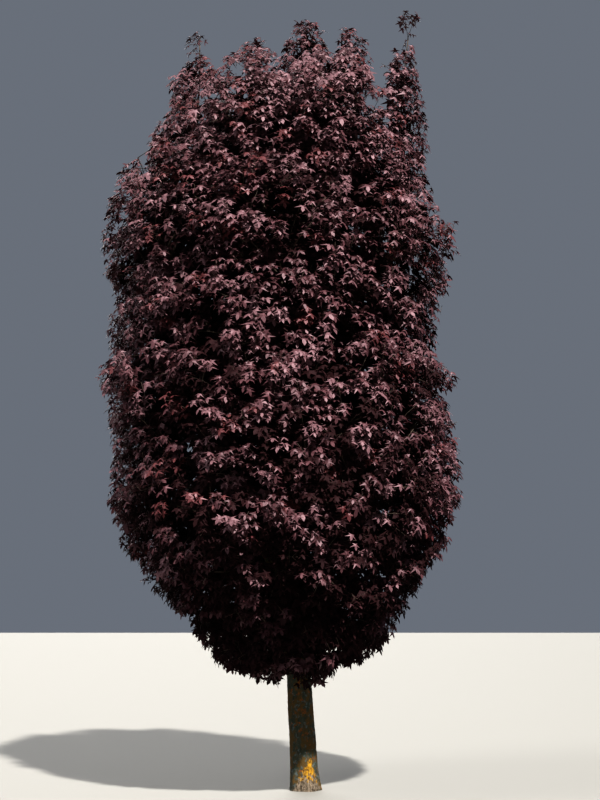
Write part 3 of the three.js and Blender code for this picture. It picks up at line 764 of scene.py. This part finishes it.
def spaced_targets(mass, layer, rng):
    """Random places in one layer of the mass, spaced out, and how full a spray each has room for."""
    low, high = mass_box(mass)
    places = low + rng.random((layer["candidates"], 3)) * (high - low)
    depth, radii = lobe_depth(mass, places)
    depth = np.minimum(depth, leaf_depth(places))
    room = np.minimum(1.0, radii / FULL_RADIUS)
    least, most = layer["depth"]
    keep = (depth > least * room) & (depth < most * room) & ~is_bare(mass, places) & ~in_opening(places)
    places, room = places[keep], room[keep]
    own = own_side(mass, places, GROOVE)
    places, room = places[own], room[own]
    chosen, rooms = [], []
    scale = np.array((1 / layer["across"], 1 / layer["across"], 1 / layer["upright"]))
    for place, share in zip(places, room):
        spacing = LEAST_SPACING + (1 - LEAST_SPACING) * share
        if chosen and np.min(np.sum(((np.array(chosen) - place) * scale) ** 2, axis=1)) < spacing ** 2:
            continue
        chosen.append(place)
        rooms.append(share)
    return chosen, rooms


def in_hollow(place):
    """Whether a place lies in one of the crown's hollows, which are rarer at its left and right edge."""
    half, middle = crown_at(place[2])
    above = np.interp(abs(place[0] - middle) / half, HOLLOW_SIDES, HOLLOW_ABOVE)
    return noise_at(place, HOLLOW_SCALE) > above


def in_gap(place):
    """Whether a place lies in a gap among the sprays, which the plumes have more of upward."""
    above = np.interp(place[2], GAP_HEIGHTS, GAP_ABOVE)
    return noise_at(place, GAP_SCALE) > above


def in_opening(places):
    """Which places the camera sees in front of or behind one of the openings to the sky."""
    nearer = -CAMERA_PLACE[1] / (places[:, 1] - CAMERA_PLACE[1])
    seen_x = CAMERA_PLACE[0] + (places[:, 0] - CAMERA_PLACE[0]) * nearer
    seen_z = CAMERA_PLACE[2] + (places[:, 2] - CAMERA_PLACE[2]) * nearer
    ragged = OPENING_RAGGED * np.sin(seen_x * OPENING_WAVES[0]) * np.sin(seen_z * OPENING_WAVES[1])
    found = np.zeros(len(places), bool)
    for x, height, half_width, half_height in SKY_OPENINGS:
        across = (seen_x - x) / half_width
        upright = (seen_z - height) / half_height
        found |= across ** 2 + upright ** 2 < 1 + ragged
    return found


def is_bare(mass, places):
    """Whether places lie along the bare stretch of a leading shoot."""
    low, high = mass["bare"]
    return (places[:, 2] > low) & (places[:, 2] < high)


def grow_mass(mass, rng):
    """The branching of a mass: carrying twigs, sprays from the inner layer outward, and single shoots."""
    branching = Branching(mass)
    centre = mass["lobes"][0][0]
    carrying = spaced_targets(mass, CARRYING, rng)[0]
    for target in sorted(carrying, key=lambda place: float(np.linalg.norm(place - centre))):
        branching.join(target)
    for layer in reversed(SPRAYS):
        grow_sprays(mass, branching, layer, rng)
    for target in spaced_targets(mass, LONE_SHOOTS, rng)[0]:
        branching.add_shoot(target, spray_tint(target, True, rng), LONE_PAIRS, 1.0, True)
    for target in mass["fork"]:
        branching.add_fork(target, spray_tint(target, True, rng))
    for targets, pairs, leaf in ((mass["tips"], TIP_PAIRS, TIP_LEAF), (mass["buds"], BUD_PAIRS, BUD_LEAF)):
        for target in targets:
            branching.add_shoot(target, spray_tint(target, True, rng), pairs, leaf, True, True)
    return branching


def grow_sprays(mass, branching, layer, rng):
    feet, rooms = spaced_targets(mass, layer, rng)
    outward = outward_at(mass, np.array(feet).reshape(-1, 3))
    for foot, room, out in zip(feet, rooms, outward):
        if in_gap(foot) or (layer["outer"] and in_hollow(foot)):
            continue
        branching.join(foot)
        tint = spray_tint(foot, layer["outer"], rng)
        shoots = max(LEAST_SHOOTS, round(layer["shoots"] * room))
        targets = np.array(list(spray_places(foot, out, shoots, layer["spread"] * room, rng)))
        size = layer["leaf"] * (SPIRE_LEAF + (1 - SPIRE_LEAF) * room)
        for target in targets[~in_opening(targets) & (leaf_depth(targets) > SHOOT_INSIDE)]:
            branching.add_shoot(target, tint, PAIRS, size, layer["outer"])


def spray_tint(place, outer, rng):
    """The number of a spray's tint: the darkest ones, painted shade, are inside and low down, where little
    sun comes.
    """
    weights = np.array([row[5:] for row in LEAF_TINTS])
    low = np.interp(place[2], LOW_SHADE_HEIGHTS, (LOW_SHADE, 0.0))
    share = weights[:, 0] * (1 - low) + weights[:, 1] * low if outer else weights[:, 1]
    return rng.choice(len(share), p=share / share.sum())


def spray_places(foot, outward, count, spread, rng):
    """Ends of the shoots of one spray: a flat, round layer that slopes down to its outer edge."""
    normal = unit(UP + SPRAY_SLOPE * outward)
    side = unit(np.cross(normal, outward + SPRAY_NUDGE))
    ahead = np.cross(side, normal)
    spin = rng.random() * 2 * math.pi
    for k in range(count):
        reach = spread * math.sqrt((k + 0.5) / count)
        angle = spin + k * GOLDEN_ANGLE
        flat = side * math.cos(angle) + ahead * math.sin(angle)
        yield foot + flat * reach + normal * rng.normal(0, SPRAY_LOOSE)


def twig_tubes(branching):
    radii = branching.radii()
    tubes = []
    for parent, indices in branching.twigs:
        chain = np.concatenate([[parent], indices])
        widths = radii[chain]
        widths[0] = widths[1]
        sides = STEM_SIDES if widths[0] > STEM_LEAST_RADIUS else TWIG_SIDES
        tubes.append(tube(branching.places[chain], widths, sides))
    return joined(tubes)


# Leaves
def leaf_template(half):
    """Blade as a fan of triangles round its middle: across, along and over its own plane."""
    rim = np.array([(0.0, 0.0)] + half + [(0.0, 1.0)] + [(-x, y) for x, y in reversed(half)])
    reach = np.hypot(rim[:, 0] - LEAF_MIDDLE[0], rim[:, 1] - LEAF_MIDDLE[1])
    over = -LEAF_DOME * reach ** 2 - LEAF_FOLD * np.abs(rim[:, 0])
    vertices = np.vstack([(*LEAF_MIDDLE, 0.0), np.column_stack([rim, over])])
    count = len(rim)
    k = np.arange(count)
    faces = np.stack([np.zeros(count, int), 1 + (k + 1) % count, 1 + k], 1)
    return vertices, faces


def outward_at(mass, places):
    """Away from the crown's axis low down, and away from the plume's own axis at the top."""
    half, middle = crown_at(places[:, 2])
    from_axis = np.column_stack([places[:, 0] - middle, places[:, 1], np.zeros(len(places))])
    from_axis /= half[:, None]
    best = np.full(len(places), np.inf)
    from_lobe = np.zeros_like(places)
    for centre, radius, rise, _ in mass["lobes"]:
        apart = places - centre
        distance = np.linalg.norm(apart, axis=1)
        apart = apart * (1, 1, radius / rise)
        nearer = distance < best
        from_lobe[nearer] = apart[nearer]
        best[nearer] = distance[nearer]
    return unit(unit(from_lobe) + from_axis)


def leaf_rows(pairs):
    """Each leaf's shoot, the number of its pair on it, counted from the end, and its side of the pair."""
    rows = [(np.flatnonzero(pairs > pair), pair, side) for pair in range(pairs.max()) for side in (0, 1)]
    shoot = np.concatenate([found for found, _, _ in rows])
    pair = np.concatenate([np.full(len(found), pair) for found, pair, _ in rows])
    side = np.concatenate([np.full(len(found), side) for found, _, side in rows])
    return shoot, pair, side


def mass_leaves(mass, branching, rng):
    """Frames of all the leaves of a mass: crossed pairs on each shoot, blades hanging outward."""
    node, tint, pairs, scale, outer, tip = (np.array(column) for column in zip(*branching.shoots))
    ends = branching.places[node]
    outward = outward_at(mass, ends)
    grown = unit(ends - branching.places[branching.parents[node]])
    heading = unit(leaning(SHOOT_WAY, grown, UP, outward))
    across = unit(np.cross(heading, UP) + SHOOT_NUDGE)
    upright = np.cross(across, heading)
    spin = rng.random(len(ends)) * 2 * math.pi

    shoot, pair, side = leaf_rows(pairs)
    count = len(shoot)
    out = outward[shoot]
    angle = spin[shoot] + pair * math.pi / 2 + side * math.pi + rng.normal(0, PAIR_TURN, count)
    ring = across[shoot] * np.cos(angle)[:, None] + upright[shoot] * np.sin(angle)[:, None]
    attach = ends[shoot] - heading[shoot] * (pair * PAIR_SPACING)[:, None]
    reach = rng.uniform(*STALK_LENGTH, count) * np.where(pair == 0, FIRST_STALK, 1.0) * scale[shoot]
    reach = np.where(tip[shoot], reach * TIP_STALK, reach)
    base = attach + unit(leaning(STALK_WAY, ring, out, UP)) * reach[:, None]
    along = unit(leaning(BLADE_WAY, ring, out, UP, rng.normal(0, 1, (count, 3))))
    facing = leaning(BLADE_FACE, out, UP, TO_THE_LIGHT, rng.normal(0, 1, (count, 3)))
    normal = unit(facing - np.sum(facing * along, axis=1, keepdims=True) * along)
    size = LEAF_LENGTH * np.exp(rng.normal(0, LEAF_SPREAD, count)) * np.where(pair == 0, FIRST_LEAF, 1.0)
    size = size * scale[shoot]

    middle = base + along * (size / 2)[:, None]
    keep = (leaf_depth(middle) > 0) & (middle[:, 2] < TREE_TOP) & ~in_opening(middle)
    if mass["group"] == "plume":
        keep &= (lobe_depth(mass, middle)[0] > -PLUME_LEAF_OUTSIDE) | tip[shoot]
    leaves = dict(
        attach=attach, base=base, along=along, normal=normal, size=size, tint=tint[shoot],
        outer=outer[shoot],
    )
    return {key: values[keep] for key, values in leaves.items()}


def blades_and_stalks(leaves, outline, stalk_tint):
    """Vertices, faces and tints of leaves: a blade each, and its stalk as one narrow triangle."""
    blade, fan = leaf_template(outline)
    side = np.cross(leaves["along"], leaves["normal"])
    size = leaves["size"][:, None, None]
    blades = leaves["base"][:, None, :] + size * (
        blade[None, :, 0, None] * side[:, None, :]
        + blade[None, :, 1, None] * leaves["along"][:, None, :]
        + blade[None, :, 2, None] * leaves["normal"][:, None, :]
    )
    half = side * STALK_WIDTH / 2
    stalks = np.stack([leaves["attach"] - half, leaves["attach"] + half, leaves["base"]], 1)
    vertices = np.concatenate([blades, stalks], 1).reshape(-1, 3)
    each = blade.shape[0] + 3
    faces_each = np.vstack([fan, [[each - 3, each - 2, each - 1]]])
    faces = (faces_each[None] + (np.arange(len(blades)) * each)[:, None, None]).reshape(-1, 3)
    tints = np.repeat(leaves["tint"][:, None], len(faces_each), 1)
    tints[:, -1] = stalk_tint
    return vertices, faces, tints.ravel()


def leaves_mesh(name, leaves, materials):
    """One joined mesh of a batch's leaves, the inner ones in a plainer outline."""
    parts = []
    for outer, outline in ((True, LEAF_HALF_OUTLINE), (False, INNER_HALF_OUTLINE)):
        chosen = {key: values[leaves["outer"] == outer] for key, values in leaves.items()}
        parts.append(blades_and_stalks(chosen, outline, len(materials) - 1))
    vertices, faces = joined(parts)
    tints = np.concatenate([part[2] for part in parts])
    return new_mesh(name, vertices, faces, materials, tints, smooth=False)


# Materials
class Paint:
    """A material and its nodes, with one short call for each kind of node."""

    def __init__(self, name):
        self.material = bpy.data.materials.new(name)
        self.material.use_nodes = True
        self.nodes = self.material.node_tree.nodes

    @cached_property
    def place(self):
        return self.nodes.new("ShaderNodeTexCoord").outputs["Object"]

    def fill(self, socket, value):
        """Links a socket to another one, or sets it to a number, a vector or a colour."""
        if isinstance(value, bpy.types.NodeSocket):
            self.material.node_tree.links.new(value, socket)
        else:
            socket.default_value = (*value, 1) if socket.type == "RGBA" else value

    def node(self, kind, values, **settings):
        """A new node, with values by the names or numbers of its sockets."""
        node = self.nodes.new(kind)
        for name, value in settings.items():
            setattr(node, name, value)
        for socket, value in values.items():
            self.fill(node.inputs[socket], value)
        return node

    def texture(self, scale, stretch=(1, 1, 1), detail=4.0, roughness=0.55):
        mapping = self.node("ShaderNodeMapping", {"Vector": self.place, "Scale": stretch})
        return self.node("ShaderNodeTexNoise", {
            "Vector": mapping.outputs["Vector"], "Scale": scale, "Detail": detail, "Roughness": roughness,
        }).outputs["Fac"]

    def ramp(self, value, stops):
        ramp = self.node("ShaderNodeValToRGB", {"Fac": value})
        elements = ramp.color_ramp.elements
        while len(elements) < len(stops):
            elements.new(0.5)
        for element, (position, colour) in zip(elements, stops):
            element.position = position
            element.color = (*colour, 1)
        return ramp.outputs["Color"]

    def mask(self, value, low, high):
        values = {"Value": value, "From Min": low, "From Max": high}
        return self.node("ShaderNodeMapRange", values).outputs["Result"]

    def mix(self, factor, first, second):
        """A mix of two colours, whose sockets have the numbers 6, 7 and 2 among those of other types."""
        values = {"Factor": factor, 6: first, 7: second}
        return self.node("ShaderNodeMix", values, data_type="RGBA").outputs[2]

    def calc(self, operation, *values):
        return self.node("ShaderNodeMath", dict(enumerate(values)), operation=operation).outputs["Value"]

    def bump(self, height, strength, distance):
        values = {"Height": height, "Strength": strength, "Distance": distance}
        return self.node("ShaderNodeBump", values).outputs["Normal"]

    def finish(self, values):
        """The material, with values for the shader's own sockets."""
        for name, value in values.items():
            self.fill(self.nodes["Principled BSDF"].inputs[name], value)
        return self.material


def leaf_material(name, dark, light, roughness, gloss):
    """A leaf's two close tones, mottled finely, with a soft gloss."""
    paint = Paint(name)
    mottle = paint.texture(scale=38.0, detail=3.0)
    grain = paint.texture(scale=140.0, detail=2.0)
    return paint.finish({
        "Base Color": paint.ramp(mottle, [(0.32, dark), (0.68, light)]),
        "Normal": paint.bump(grain, strength=0.25, distance=0.002),
        "Roughness": roughness,
        "Specular IOR Level": gloss,
        "Specular Tint": LEAF_GLOSS_TINT,
    })


def painted_sun_patch(paint):
    """How much a place at the trunk's foot belongs to the painted patch of sunlight, and to the sunlit
    yellow lichen in it.
    """
    across, deep, height = paint.node("ShaderNodeSeparateXYZ", {"Vector": paint.place}).outputs
    ragged = paint.texture(scale=20.0, detail=6.0, roughness=0.7)
    offset = paint.calc("MULTIPLY_ADD", height, -PATCH_LEAN, across)
    offset = paint.calc("ABSOLUTE", paint.calc("SUBTRACT", offset, PATCH_MIDDLE))
    inside = paint.calc("MULTIPLY_ADD", height, -PATCH_HALF, PATCH_HALF * PATCH_TOP)
    inside = paint.calc("SUBTRACT", inside, offset)
    inside = paint.calc("MULTIPLY_ADD", ragged, PATCH_RAGGED, inside)
    wedge = paint.mask(inside, *PATCH_EDGE)
    turned = paint.calc("MULTIPLY_ADD", ragged, PATCH_BACK_RAGGED, deep)
    front = paint.mask(turned, *PATCH_BACK)
    flecks = paint.texture(scale=30.0, detail=5.0, roughness=0.6)
    flecks = paint.calc("MULTIPLY_ADD", height, PATCH_LICHEN_RISE, flecks)
    low, high = (edge + PATCH_LICHEN_FROM * PATCH_LICHEN_RISE for edge in PATCH_LICHEN_EDGE)
    return paint.calc("MULTIPLY", wedge, front), paint.mask(flecks, low, high)


def bark_material():
    """Grey-green bark, mottled with rust and pale lichen, and a painted patch of sunlight at the foot."""
    paint = Paint("bark")
    streaks = paint.texture(scale=26.0, stretch=(1, 1, 0.35), detail=6.0)
    colour = paint.ramp(streaks, BARK_TONES)
    film = paint.mask(paint.texture(scale=8.0), low=0.42, high=0.60)
    colour = paint.mix(film, colour, GREEN_FILM)
    spots = paint.mask(paint.texture(scale=26.0, detail=5.0), low=0.54, high=0.60)
    colour = paint.mix(spots, colour, GREY_LICHEN)
    rust = paint.texture(scale=10.0, stretch=(1, 1, 0.7), detail=7.0, roughness=0.72)
    colour = paint.mix(paint.mask(rust, low=0.48, high=0.54), colour, RUST_LICHEN)
    orange = paint.texture(scale=19.0, detail=6.0, roughness=0.7)
    colour = paint.mix(paint.mask(orange, low=0.575, high=0.61), colour, ORANGE_LICHEN)
    crumbs = paint.texture(scale=50.0, stretch=(1, 1, 0.5), detail=5.0, roughness=0.7)
    # The patch at the foot is painted sunlight: lit bark, and yellow lichen painted as bright as if sunlit
    patch, lichen = painted_sun_patch(paint)
    light = paint.mix(lichen, paint.ramp(crumbs, SUNLIT_BARK_TONES), paint.ramp(crumbs, SUNLIT_LICHEN_TONES))
    return paint.finish({
        "Base Color": paint.mix(patch, colour, light),
        "Normal": paint.bump(crumbs, strength=0.9, distance=0.008),
        "Roughness": 0.9,
    })


def twig_material():
    paint = Paint("twig_bark")
    streaks = paint.texture(scale=60.0, stretch=(1, 1, 0.3))
    return paint.finish({"Base Color": paint.ramp(streaks, TWIG_TONES), "Roughness": 0.8})


# Stage
def make_floor():
    corners = np.array([(-1, -1, 0), (1, -1, 0), (1, 1, 0), (-1, 1, 0)]) * FLOOR_REACH
    material = Paint("floor").finish({"Base Color": FLOOR_TONE, "Roughness": FLOOR_ROUGHNESS})
    floor = new_mesh("floor", corners, np.array([[0, 1, 2, 3]]), [material])


def make_sky():
    world = bpy.data.worlds.new("studio")
    world.use_nodes = True
    background = world.node_tree.nodes["Background"]
    background.inputs["Color"].default_value = SKY_TONE
    background.inputs["Strength"].default_value = SKY_STRENGTH
    bpy.context.scene.world = world


def make_sun(name, place, strength, width, tone):
    light = bpy.data.lights.new(name, "SUN")
    light.energy = strength
    light.angle = width
    light.color = tone
    lamp = bpy.data.objects.new(name, light)
    lamp.rotation_euler = Vector(place).to_track_quat("Z", "Y").to_euler()
    bpy.context.scene.collection.objects.link(lamp)


def make_camera():
    camera = bpy.data.objects.new("camera", bpy.data.cameras.new("camera"))
    camera.data.sensor_width = SENSOR
    camera.data.lens = FOCAL_PIXELS / PHOTO_HEIGHT * SENSOR
    camera.data.clip_end = VIEW_END
    camera.location = CAMERA_PLACE
    camera.rotation_euler = (math.pi / 2 + CAMERA_TILT, 0, 0)
    bpy.context.scene.collection.objects.link(camera)
    bpy.context.scene.camera = camera


# Pieces
def place_piece(piece, nodes):
    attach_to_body(piece, "root")
    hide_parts(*nodes)


def make_limbs():
    """The trunk, the boughs of each ring as one piece, and the plumes' boughs as another."""
    bark = bark_material()
    place_piece(trunk_piece(bark), ["trunk"])
    for group in ("skirt", "waist", "shoulder", "plume"):
        members = [mass for mass in MASSES if mass["group"] == group and mass is not CENTRE_MASS]
        boughs = joined([bough_tube(mass) for mass in members])
        piece = new_mesh(f"boughs_{group}", *boughs, [bark])
        place_piece(piece, [f"bough_{mass['name']}" for mass in members])


def make_foliage():
    """Twigs and leaves of each batch of masses, all from one row of random draws."""
    twig_bark = twig_material()
    leaf_materials = [leaf_material(*row[:5]) for row in LEAF_TINTS] + [leaf_material(*STALK_TINT)]
    rng = np.random.default_rng(SEED)
    for batch, masses in BATCHES.items():
        twigs, leaves = [], []
        for mass in masses:
            branching = grow_mass(mass, rng)
            twigs.append(twig_tubes(branching))
            leaves.append(mass_leaves(mass, branching, rng))
        nodes = [f"foliage_{mass['name']}" for mass in masses]
        place_piece(new_mesh(f"twigs_{batch}", *joined(twigs), [twig_bark]), nodes)
        together = {key: np.concatenate([part[key] for part in leaves]) for key in leaves[0]}
        place_piece(leaves_mesh(f"leaves_{batch}", together, leaf_materials), nodes)


bpy.context.scene.view_settings.view_transform = "Standard"
bpy.context.scene.view_settings.look = "High Contrast"
make_camera()
make_floor()
make_sky()
for row in SUNS:
    make_sun(**row)
make_limbs()
make_foliage()
